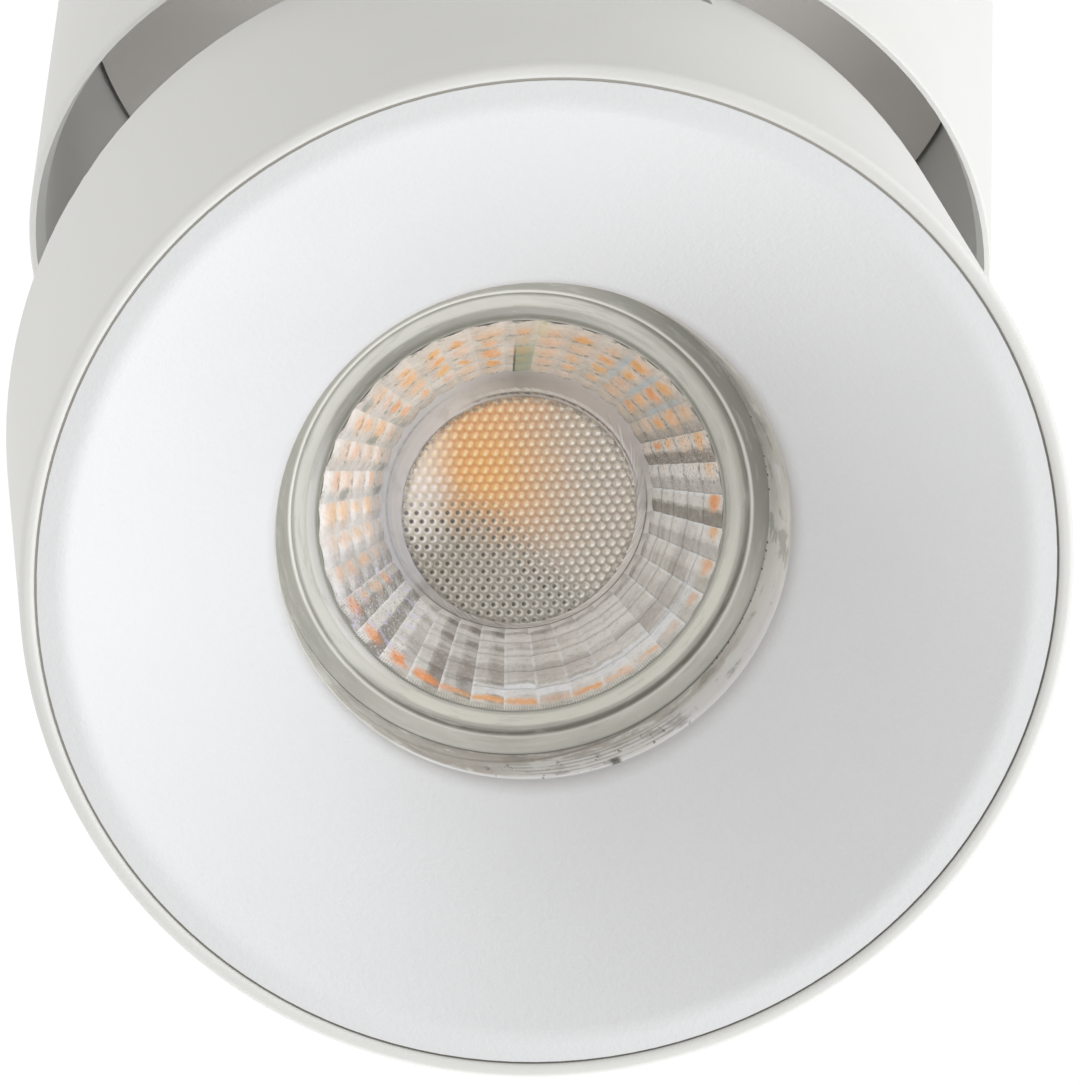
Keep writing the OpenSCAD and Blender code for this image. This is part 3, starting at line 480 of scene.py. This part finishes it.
def facet_look():
    """The faceted bowl: each facet shows the amber source or the pale room, by its angle and its ring. Its v runs
    from 0 at the bowl's bottom to 1 at the ring."""
    m = LensMat("lens_facets")
    along = m.mul(m.sub(m.degrees, EDGE_DEG), 1 / PETAL_DEG)
    out = m.mul(m.v, ROWS)
    r = m.add(BOWL_R[0], m.mul(m.v, m.add(BOWL_R[1], m.mul(m.v, BOWL_R[2]))))
    shift_s, shift_t, _ = m.split(m.patches((along, 1.9), (out, 2.1), 4, 0.65, output="Color"))
    sway_s, sway_t = m.sub(shift_s, 0.5), m.sub(shift_t, 0.5)
    petal, row = m.math("FLOOR", along), m.math("FLOOR", out)
    outer_row = m.math("GREATER_THAN", row, ROWS - 1.5)
    # Place on the facet, along the ring and outward, as it is and swayed
    s, t = m.math("FRACT", along), m.math("FRACT", out)
    s2 = m.add(s, m.mul(sway_s, 0.7))
    t2 = m.add(t, m.mul(sway_t, m.sub(1.1, m.mul(outer_row, 0.7))))
    # Numbers from 0 to 1 that differ from facet to facet, and one from petal to petal
    cell, cell2, cell3 = (m.random(m.join(petal, row, z)) for z in (3.5, 8.5, 12.5))
    column = m.random(m.join(petal, 1.5, 6.5))
    column_sway = m.sub(column, 0.5)

    base = m.circle([(0, seen(168, 164, 154)), (50, seen(190, 184, 174)), (95, seen(200, 191, 180)),
                     (155, seen(198, 194, 188)), (185, seen(204, 203, 203)), (210, seen(134, 131, 131)),
                     (240, seen(148, 141, 135)), (275, seen(180, 173, 165)), (307, seen(240, 236, 230)),
                     (350, seen(192, 186, 177))])
    broad = m.patches((along, 0.8), (out, 0.9), 3, 0.6)
    base = m.mix(m.span(broad, 0.46, 0.72, 0.0, 0.5), base, seen(224, 218, 212))
    base = m.mix(m.span(broad, 0.5, 0.3, 0.0, 0.35), base, seen(150, 146, 136))

    # Light and dark halves of the petals, where the light comes along the ring
    sided = m.math("MAXIMUM", m.arc(212, 300, 30), m.arc(306, 384, 24))
    side = m.mul(m.lobe(25), m.span(sided, 0, 1, 0.3, 1.0))
    tilt = m.mul(side, m.span(m.add(s, m.mul(sway_s, 0.3)), 0.36, 0.66, -1, 1))
    base = m.mix(m.span(tilt, 0.05, 0.8, 0.0, 0.72), base, seen(244, 241, 235))
    bright_side = m.arc(292, 344, 20)
    base = m.over(base, seen(122, 115, 107), m.span(tilt, -0.05, -0.8, 0.0, 0.74), m.span(bright_side, 0, 1, 1.0, 0.35))
    lowest = m.arc(206, 384, 24)
    base = m.over(base, seen(238, 234, 230), lowest, m.span(column, 0.55, 1.0, 0.0, 0.45))
    base = m.over(base, seen(120, 114, 108), lowest, m.span(column, 0.4, 0.0, 0.0, 0.35),
                  m.span(bright_side, 0, 1, 1.0, 0.4))
    # A bright line on the light side of each petal's edge, a dark one on the other
    lit_edge = m.add(m.both(m.arc(205, 300, 20), m.span(s, 0.13, 0.04)),
                     m.both(m.arc(312, 371, 14), m.span(s, 0.86, 0.95)))
    base = m.mix(m.mul(lit_edge, 0.9), base, GLINT_WARM)
    dark_edge = m.both(m.arc(315, 400, 30), m.span(s, 0.1, 0.02))
    base = m.mix(m.mul(dark_edge, 0.3), base, grey(120, 6))

    # Rings of light and shade in the lower part, which faces the camera
    ripple = m.add(r, m.add(m.mul(sway_t, 0.5), m.mul(column_sway, 0.25)))
    lower = m.arc(224, 352, 34)
    for low, high, colour, strength in (
            (16.35, 17.5, seen(160, 153, 147), 0.5), (13.9, 14.6, seen(214, 210, 206), 0.6),
            (15.05, 15.8, seen(210, 206, 198), 0.45), (15.95, 16.2, seen(200, 196, 188), 0.4)):
        base = m.over(base, colour, lower, m.band(ripple, low, high, 0.35),
                      m.span(cell, 0, 1, strength * 0.5, strength * 1.3))
    base = m.over(base, seen(252, 253, 255), m.arc(258, 338, 22), m.band(ripple, 17.86, 18.72, 0.24),
                  m.span(cell2, 0, 0.6, 0.45, 1.0))
    for at, width, strength in ((17.72, 0.24, 0.34), (16.28, 0.2, 0.2), (14.96, 0.2, 0.24), (13.66, 0.28, 0.34)):
        line = m.both(lower, m.band(ripple, at - width / 2, at + width / 2, 0.2), m.span(cell3, 0.0, 0.6, 0.35, 1.0))
        base = m.mix(m.mul(line, strength), base, seen(96, 91, 85))
    base = m.over(base, seen(184, 180, 170), m.arc(232, 318, 20), m.span(r, 19.3, 19.42),
                  m.span(cell2, 0, 1, 0.5, 0.95))
    base = m.over(base, grey(120, 8), m.arc(204, 318, 20), m.span(r, 19.42, 19.6), m.ribs(0.0, 0.9, 0.0, 0.45))
    # Whitish outer edge at the left
    base = m.over(base, seen(238, 238, 240), m.arc(140, 208, 24), m.band(ripple, 18.75, 19.6, 0.3),
                  m.span(cell, 0, 1, 0.1, 0.5))

    # Amber patches where a facet looks into the source: their middle and half size on the facet, then how much
    middle_s = m.add(m.add(0.53, m.mul(m.lobe(-10), 0.3)), m.mul(column_sway, 0.2))
    lowered = m.mul(m.mul(m.lobe(130), 0.22), outer_row)
    middle_t = m.sub(m.add(0.5, m.mul(outer_row, -0.08)), lowered)
    thin = m.both(outer_row, m.arc(240, 335, 20))
    half_s = m.add(m.add(0.22, m.mul(cell3, 0.16)), m.mul(m.both(thin, m.arc(232, 306, 16)), 0.55))
    half_t = m.sub(0.30, m.mul(thin, 0.15))
    ds, dt = m.div(m.sub(s2, middle_s), half_s), m.div(m.sub(t2, middle_t), half_t)
    spread = m.math("SQRT", m.add(m.mul(ds, ds), m.mul(dt, dt)))
    inside = m.span(m.away(s, 0.5), 0.46, 0.5, 1, 0)
    blob = m.both(m.span(spread, 0.3, 1.45, 1, 0), inside)
    inner_rows = m.both(m.arc(18, 213, 12), m.span(row, -0.2, 0.9, 0.1, 1.0), m.sub(1.0, outer_row))
    outer_amount = m.both(outer_row, m.span(m.arc(300, 352, 16), 0, 1, 1, 0.7))
    amount = m.both(m.add(inner_rows, outer_amount), m.span(cell, 0.05, 0.5, 0.3, 0.92),
                    m.span(m.lobe(178), 0.6, 1.0, 1.0, 0.45))
    tint = m.ramp(cell2, [(0.0, seen(226, 148, 92)), (0.35, seen(232, 164, 98)), (0.6, seen(228, 176, 108)),
                          (0.8, seen(226, 178, 138)), (1.0, seen(234, 184, 122))])
    tint = m.over(tint, seen(226, 142, 74), outer_row, m.arc(200, 250, 14))
    tint = m.over(tint, seen(220, 160, 104), outer_row, m.arc(252, 330, 20))
    # A painted peach glow of the source round them
    haze = m.both(m.arc(24, 196, 40), m.span(spread, 2.4, 0.8, 0.12, 0.5), m.span(cell3, 0, 1, 0.5, 1.0),
                  m.span(row, -0.5, 1.5, 0.25, 1.0))
    base = m.mix(haze, base, seen(224, 186, 152))
    base = m.mix(m.both(blob, amount), base, tint)

    # Blue-grey between the patches at the upper right, green-grey ones at the left
    base = m.over(base, seen(172, 184, 188), m.arc(34, 62, 6), m.span(s, 0.32, 0.16), m.band(r, 15.8, 19.0, 1.0),
                  m.span(shift_t, 0.3, 0.6, 0.35, 0.8))
    base = m.over(base, seen(118, 131, 127), m.arc(138, 180, 16), m.band(s2, 0.6, 0.98, 0.25),
                  m.band(t2, 0.25, 0.75, 0.3), m.span(cell3, 0.2, 0.7, 0.0, 0.7))
    # Small painted shadows where the rings meet
    slant = m.add(t, m.mul(m.sub(s, 0.5), 0.35))
    near_edge = m.away(m.math("FRACT", m.add(slant, 0.46)), 0.5)
    stroke_noise = m.patches((along, 5), (out, 4), 3, 0.7, 2.0)
    strokes = m.both(m.span(near_edge, 0.18, 0.04), m.band(s2, 0.25, 0.85, 0.3), m.span(stroke_noise, 0.47, 0.58),
                     m.span(m.arc(4, 176, 30), 0, 1, 0.15, 1.0))
    base = m.mix(m.mul(strokes, 0.62), base, seen(84, 78, 74))
    # Bright and dark specks, most of them along one petal and at the lower left
    specks = m.patches((along, 9), (out, 11), 3, 0.7, 4.0)
    busy = m.add(0.16, m.mul(m.math("MAXIMUM", m.arc(6, 27, 8), m.arc(202, 230, 10)), 0.7))
    base = m.over(base, seen(252, 252, 252), m.span(specks, 0.57, 0.68), busy)
    base = m.over(base, seen(90, 86, 80), m.span(specks, 0.43, 0.33), busy)
    base = m.over(base, seen(196, 188, 222), m.arc(203, 232, 10), m.span(shift_s, 0.56, 0.64, 0.0, 0.6))
    grain = m.patches((along, 4), (out, 4.6), 4, 0.75, 9.0)
    base = m.mix(m.span(grain, 0.5, 0.7, 0.0, 0.26), base, seen(236, 230, 224))
    base = m.mix(m.span(grain, 0.5, 0.3, 0.0, 0.26), base, seen(120, 114, 108))

    # The gate mark at the top, darker toward the middle
    base = m.over(base, seen(142, 150, 126), m.band(m.degrees, 84.6, 91.6, 0.8), m.span(r, 18.6, 15.0, 0.08, 0.8))
    base = m.over(base, grey(74), m.band(m.degrees, 91.0, 91.8, 0.5), m.span(r, 17.6, 15.0, 0.0, 0.8))
    base = m.over(base, seen(206, 200, 160), m.arc(82, 85.4, 1.5), m.span(r, 19.4, 17.0, 0.45, 0.1))
    return m.done(Base_Color=base, Roughness=0.3, Coat_Weight=0.22, Coat_Roughness=0.08,
                  Normal=m.bump(grain, 0.12, 0.0002))


def dot_look():
    """The centre disc: a lattice of domes over the amber source at the upper left, grey and white elsewhere"""
    m = LensMat("lens_centre")
    r = m.mul(m.v, V_SCALE)
    x, y = m.mul(m.lobe(0), r), m.mul(m.lobe(90), r)
    rows_apart = DOME * math.sqrt(3) / 2

    def nearest(shift):
        """Offset to the nearest dome of one of the two rectangular sets that make the hexagonal lattice"""
        parts = []
        for value, pitch in ((x, DOME), (y, DOME * math.sqrt(3))):
            # 64 keeps the counted number above zero
            scaled = m.add(m.div(value, pitch), 64.5 - shift)
            parts.append(m.mul(m.sub(m.math("FRACT", scaled), 0.5), pitch))
        return parts

    def length(p, q):
        return m.math("SQRT", m.add(m.mul(p, p), m.mul(q, q)))

    near, far = nearest(0), nearest(0.5)
    first = m.math("LESS_THAN", length(*near), length(*far))
    dx, dy, _ = m.split(m.mix(first, m.join(*far), m.join(*near)))
    ring = length(dx, dy)

    uneven = m.noise(m.join(x, y), 0.35, 3, 0.6)
    sway = m.sub(uneven, 0.5)
    # The amber part lies above a line that falls to the right, and fades to the right
    above = m.add(m.add(y, m.mul(x, 0.42)), m.add(2.2, m.mul(sway, 6)))
    fade = m.span(m.add(x, m.mul(sway, 5)), 8.5, -4.0, 0.1, 1.0)
    glow = m.both(m.span(above, -4.6, 4.6), fade)
    core = m.span(length(m.add(x, 2.8), m.sub(y, 4.2)), 7.0, 1.0)
    plain = m.mix(m.span(m.sub(x, m.mul(y, 0.4)), -7, 5), seen(172, 164, 150), seen(180, 173, 162))
    plain = m.mix(m.span(m.add(y, 10), 6.0, 0.0, 0.0, 0.5), plain, seen(178, 172, 163))
    amber_part = m.mix(core, seen(212, 168, 124), seen(234, 178, 108))
    base = m.mix(glow, plain, amber_part)
    # Painted shade between the domes, in rows
    valley = m.span(ring, 0.28, 0.54, 0.0, 0.7)
    base = m.mix(valley, base, m.mix(glow, seen(122, 117, 108), seen(188, 134, 84)))
    rows = m.span(m.math("COSINE", m.mul(y, math.tau / rows_apart)), 0.2, -1, 0.0, 0.3)
    base = m.mix(rows, base, m.mix(glow, seen(138, 133, 124), seen(194, 132, 72)))
    # Paler at the left edge, with lilac cells
    base = m.over(base, seen(242, 236, 224), m.span(x, -5.5, -10), m.span(y, -5, 0, 0.0, 0.7))
    base = m.over(base, seen(228, 218, 222), m.span(x, -5.5, -9.5), m.span(y, -6, -2), m.span(y, 5.5, 3.0),
                  m.span(ring, 0.42, 0.2, 0.0, 0.7))
    # A painted dark spot of shade in each dome at the lower left, a painted highlight in each dome elsewhere
    low_left = m.both(m.span(m.add(x, m.mul(y, 0.9)), 1.5, -4.5), m.span(y, 3.0, -0.5))
    spot = m.span(length(m.add(dx, 0.08), m.sub(dy, 0.10)), 0.32, 0.14)
    base = m.over(base, seen(72, 68, 60), spot, low_left, m.span(uneven, 0.3, 0.6, 0.7, 1.0))
    bright = m.span(length(m.sub(dx, 0.10), m.add(dy, 0.12)), 0.22, 0.12)
    where = m.span(m.add(x, m.mul(y, 0.8)), -8, 0, 0.25, 0.9)
    base = m.over(base, m.mix(glow, GLINT_AMBER, seen(255, 232, 182)), bright, where)
    # Broken dark spots at the disc's edge
    base = m.over(base, seen(120, 116, 108), m.span(r, 10.7, 11.4),
                  m.span(m.noise(m.join(x, y), 2.2, 3, 0.7), 0.4, 0.6, 0.2, 0.85))
    return m.done(Base_Color=base, Roughness=0.22, Coat_Weight=0.6, Coat_Roughness=0.05)


def make_facets():
    """Petals and rings of small convex facets on the bowl"""
    across, out = 4, 3
    bulge_across, bulge_out, lean = 0.16, 0.10, 0.16
    slope = math.atan2(BOWL_DEPTH[0] - BOWL_DEPTH[1], BOWL_R[1] + BOWL_R[2])
    turn = math.tau / PETALS
    points, faces, uvs = [], [], []

    def inset(share):
        """Keeps a facet's texture off its neighbours'"""
        return 0.004 + 0.992 * share

    for p in range(PETALS):
        a0 = math.radians(EDGE_DEG + PETAL_DEG * p)
        for k in range(ROWS):
            start = len(points)
            for j in range(out + 1):
                for i in range(across + 1):
                    s, t = i / across, j / out
                    v = (k + t) / ROWS
                    r = BOWL_R[0] + v * (BOWL_R[1] + v * BOWL_R[2])
                    depth = BOWL_DEPTH[0] - (r - BOWL_R[0]) * math.tan(slope)
                    # Each petal's edge is a straight chord
                    r *= math.cos(math.pi / PETALS) / math.cos(turn * (s - 0.5))
                    lift = bulge_across * (1 - (2 * s - 1) ** 2) + bulge_out * (1 - (2 * t - 1) ** 2) - lean * (t - 0.5)
                    points.append(around(a0 + turn * s, r - lift * math.sin(slope), depth - lift * math.cos(slope)))
            for j in range(out):
                for i in range(across):
                    q = start + j * (across + 1) + i
                    faces.append((q, q + 1, q + across + 2, q + across + 1))
                    for di, dj in ((0, 0), (1, 0), (1, 1), (0, 1)):
                        u = (EDGE_DEG + PETAL_DEG * (p + inset((i + di) / across))) / 360
                        uvs.append((u, (k + inset((j + dj) / out)) / ROWS))
    return piece("lens_facets", points, faces, facet_look(), uvs)


def make_dots():
    """The centre disc's hexagonal lattice of small domes"""
    grid, crown = 0.17, 0.5
    dome_rise, dome_reach = 0.24, 0.57 * DOME
    row_pitch = DOME * LATTICE_ROW
    n = int(CENTRE_R / grid) + 1
    points, faces, index, places = [], [], {}, []

    def rise(x, y):
        """The height of the nearest dome at a place"""
        best = math.inf
        row = round(y / row_pitch)
        for near_row in (row - 1, row, row + 1):
            shift = 0.5 * DOME if near_row % 2 else 0.0
            cx = round((x - shift) / DOME) * DOME + shift
            best = min(best, math.hypot(x - cx, y - near_row * row_pitch))
        return dome_rise * max(0.0, 1 - (best / dome_reach) ** 2) ** 0.8

    for i in range(-n, n + 1):
        for j in range(-n, n + 1):
            x, y = i * grid, j * grid
            d = math.hypot(x, y)
            if d > CENTRE_R + grid:
                continue
            if d > CENTRE_R:
                x, y, d = x * CENTRE_R / d, y * CENTRE_R / d, CENTRE_R
            # The disc is a little domed, and its small domes end at its edge
            depth = DISC_DEPTH - crown * (1 - (d / CENTRE_R) ** 2) - rise(x, y) * min(1.0, (CENTRE_R - d) / 0.3)
            a = math.atan2(y, x)
            index[i, j] = len(points)
            points.append(around(a, d, depth))
            places.append((a / math.tau % 1, d / V_SCALE))
    uvs = []
    for i in range(-n, n):
        for j in range(-n, n):
            quad = [index.get(k) for k in ((i, j), (i + 1, j), (i + 1, j + 1), (i, j + 1))]
            if None in quad:
                continue
            faces.append(quad)
            us = [places[k][0] for k in quad]
            # A face across the zero angle counts on past 1
            wrap = max(us) - min(us) > 0.5
            uvs += [(places[k][0] + (1 if wrap and places[k][0] < 0.5 else 0), places[k][1]) for k in quad]
    return piece("lens_dots", points, faces, dot_look(), uvs)


dots = make_dots()
facets = make_facets()
bowl_floor = lathe("lens_bowl_floor", [
    (CENTRE_R - 0.08, DISC_DEPTH), (CENTRE_R + 0.02, DISC_DEPTH + 0.1), (CENTRE_R + 0.2, 25.0), (CENTRE_R + 0.7, 25.9),
    (12.7, 26.8), (13.2, 27.35), (13.56, 27.58)], floor_of_bowl_look())
ring = lathe("lens_ring", [
    (19.74, 22.46), (19.84, 22.42), (19.94, 22.56), (20.04, 23.02), (20.14, 23.17), (20.3, 23.2), (21.2, 23.2),
    (22.0, 23.2), (22.26, 23.2), (22.36, 23.12), (22.44, 22.74), (22.54, 22.62), (22.7, 22.6), (23.0, 22.6),
    (23.8, 22.6), (24.3, 22.6), (24.36, 22.58)], ring_look())
wall = lathe("lens_wall", [
    (24.3, 22.62, 1, 0.0), (24.38, 22.3, 1, 0.08), (24.45, 21.0, 0.85, 0.28), (24.6, 19.0, 0.55, 0.55),
    (24.78, 17.4, 0.2, 0.76), (24.9, 16.8, 0.06, 0.86), (25.08, 16.56, 0, 0.92), (25.3, 16.52, 0, 1.0)], wall_look())

# The head's rounded front rim, as a closed ring with finer steps than the CAD mesh has. It lies just over the rim
# outside and in front, and a little inside it, so that the mesh's chords stay under it.
RIM_OUT, RIM_IN, ROUND, OVER = 50.004, 48.53, 0.6, 0.004
FINE_STEPS = 360
quarter = [math.radians(15 * k) for k in range(7)]
rim_profile = ([(49.9, 2.3, 0), (50.0, 2.2, 0), (RIM_OUT, 1.8, 0), (RIM_OUT, 1.0, 0)]
               + [(RIM_OUT - ROUND + ROUND * math.cos(a), ROUND - OVER - ROUND * math.sin(a), 0) for a in quarter]
               + [(RIM_IN + ROUND - ROUND * math.sin(a), ROUND - OVER - ROUND * math.cos(a), 0) for a in quarter]
               + [(RIM_IN, 1.0, 0), (48.9, 1.3, 0), (49.9, 2.3, 0)])
head_rim = lathe("head_rim", rim_profile, shell_white, FINE_STEPS)

# The baffle's shoulder, which closes the thin gap round its rim, with painted light at the upper left and painted
# # shade at the lower right
shoulder_look = LensMat("baffle_shoulder_shading")
shoulder_shade = shoulder_look.mix(shoulder_look.span(shoulder_look.lobe(125), -0.9, 0.9),
                                   srgb(98, 95, 88), srgb(176, 173, 165))
shoulder = lathe("baffle_shoulder_shading", [(48.2, 0.62, 0), (48.3, 0.4, 0), (48.4, 0.36, 0), (48.56, 0.4, 0)],
                 shoulder_look.done(Base_Color=shoulder_shade, Roughness=0.6), FINE_STEPS)

for lens_piece in (dots, facets, bowl_floor, ring, wall):
    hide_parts("lens")

# Camera, at the photograph's place
POSITION = Vector((-110.17, -511.90, -616.63)) * MM
RIGHT = Vector((0.96346, -0.26359, 0.04765))
UP = Vector((-0.21520, -0.65580, 0.72362))
BACK = Vector((-0.15949, -0.70743, -0.68856))
camera_data = bpy.data.cameras.new("camera")
camera_data.lens = 239.215
camera_data.sensor_width = 36
camera_data.clip_start, camera_data.clip_end = 0.01, 50
camera = bpy.data.objects.new("camera", camera_data)
bpy.context.scene.collection.objects.link(camera)
camera.matrix_world = Matrix.Translation(POSITION) @ Matrix((RIGHT, UP, BACK)).transposed().to_4x4()
bpy.context.scene.camera = camera

# The lamps point at the middle of the lamp in the picture, and have one size
TARGET = Vector((0, -20, -120)) * MM
LAMP_SIZE = 0.7


def area(name, place, power, colour=(1, 1, 1)):
    """A soft light at a place given by the camera's right, up and back axes, in metres from the target"""
    data = bpy.data.lights.new(name, "AREA")
    data.shape = "DISK"
    data.size = LAMP_SIZE
    data.energy = power
    data.color = colour
    light = bpy.data.objects.new(name, data)
    spot = TARGET + RIGHT * place[0] + UP * place[1] + BACK * place[2]
    light.matrix_world = Matrix.Translation(spot) @ (spot - TARGET).to_track_quat("Z", "Y").to_matrix().to_4x4()
    bpy.context.scene.collection.objects.link(light)


area("front", (0.5, -0.25, 1.15), 2.7, (1.0, 0.985, 0.965))
area("key", (1.1, -0.5, 0.4), 6.1, (0.95, 0.975, 1.0))
area("right", (1.2, 0.45, 0.1), 3.7, (0.97, 0.985, 1.0))
area("left", (-1.3, 0.0, 0.2), 3.6)
area("behind", (-0.1, -1.1, -0.25), 5.7)

# Floor, in metres
FLOOR_HALF, FLOOR_Z = 12, -2.4
floor_look = Mat("floor")
floor_shade = floor_look.mix(floor_look.span(floor_look.noise(floor_look.coords.outputs["Object"], 3), 0.3, 0.7),
                             (0.82, 0.82, 0.81), (0.86, 0.86, 0.85))
floor_mesh = bpy.data.meshes.new("floor")
floor_mesh.from_pydata([(x * FLOOR_HALF, y * FLOOR_HALF, FLOOR_Z) for x, y in ((-1, -1), (1, -1), (1, 1), (-1, 1))],
                       [], [(0, 1, 2, 3)])
floor_mesh.materials.append(floor_look.done(Base_Color=floor_shade, Roughness=0.9))
floor = bpy.data.objects.new("floor", floor_mesh)
bpy.context.scene.collection.objects.link(floor)

# Surroundings: white where the camera, a reflection or a clear piece sees them, and dimmer as light
world = bpy.data.worlds.new("studio")
bpy.context.scene.world = world
world.use_nodes = True
tree = world.node_tree
tree.nodes.clear()
backdrop, ambient = tree.nodes.new("ShaderNodeBackground"), tree.nodes.new("ShaderNodeBackground")
backdrop.inputs[0].default_value, backdrop.inputs[1].default_value = (1, 1, 1, 1), 1.05
ambient.inputs[0].default_value, ambient.inputs[1].default_value = (1.0, 0.99, 0.98, 1), 0.63
path, choose = tree.nodes.new("ShaderNodeLightPath"), tree.nodes.new("ShaderNodeMixShader")
world_out = tree.nodes.new("ShaderNodeOutputWorld")
seen_by = path.outputs["Is Camera Ray"]
for kind in ("Is Glossy Ray", "Is Transmission Ray"):
    either = tree.nodes.new("ShaderNodeMath")
    either.operation = "MAXIMUM"
    tree.links.new(seen_by, either.inputs[0])
    tree.links.new(path.outputs[kind], either.inputs[1])
    seen_by = either.outputs[0]
tree.links.new(seen_by, choose.inputs[0])
tree.links.new(ambient.outputs[0], choose.inputs[1])
tree.links.new(backdrop.outputs[0], choose.inputs[2])
tree.links.new(choose.outputs[0], world_out.inputs[0])

bpy.context.scene.view_settings.view_transform = "Standard"
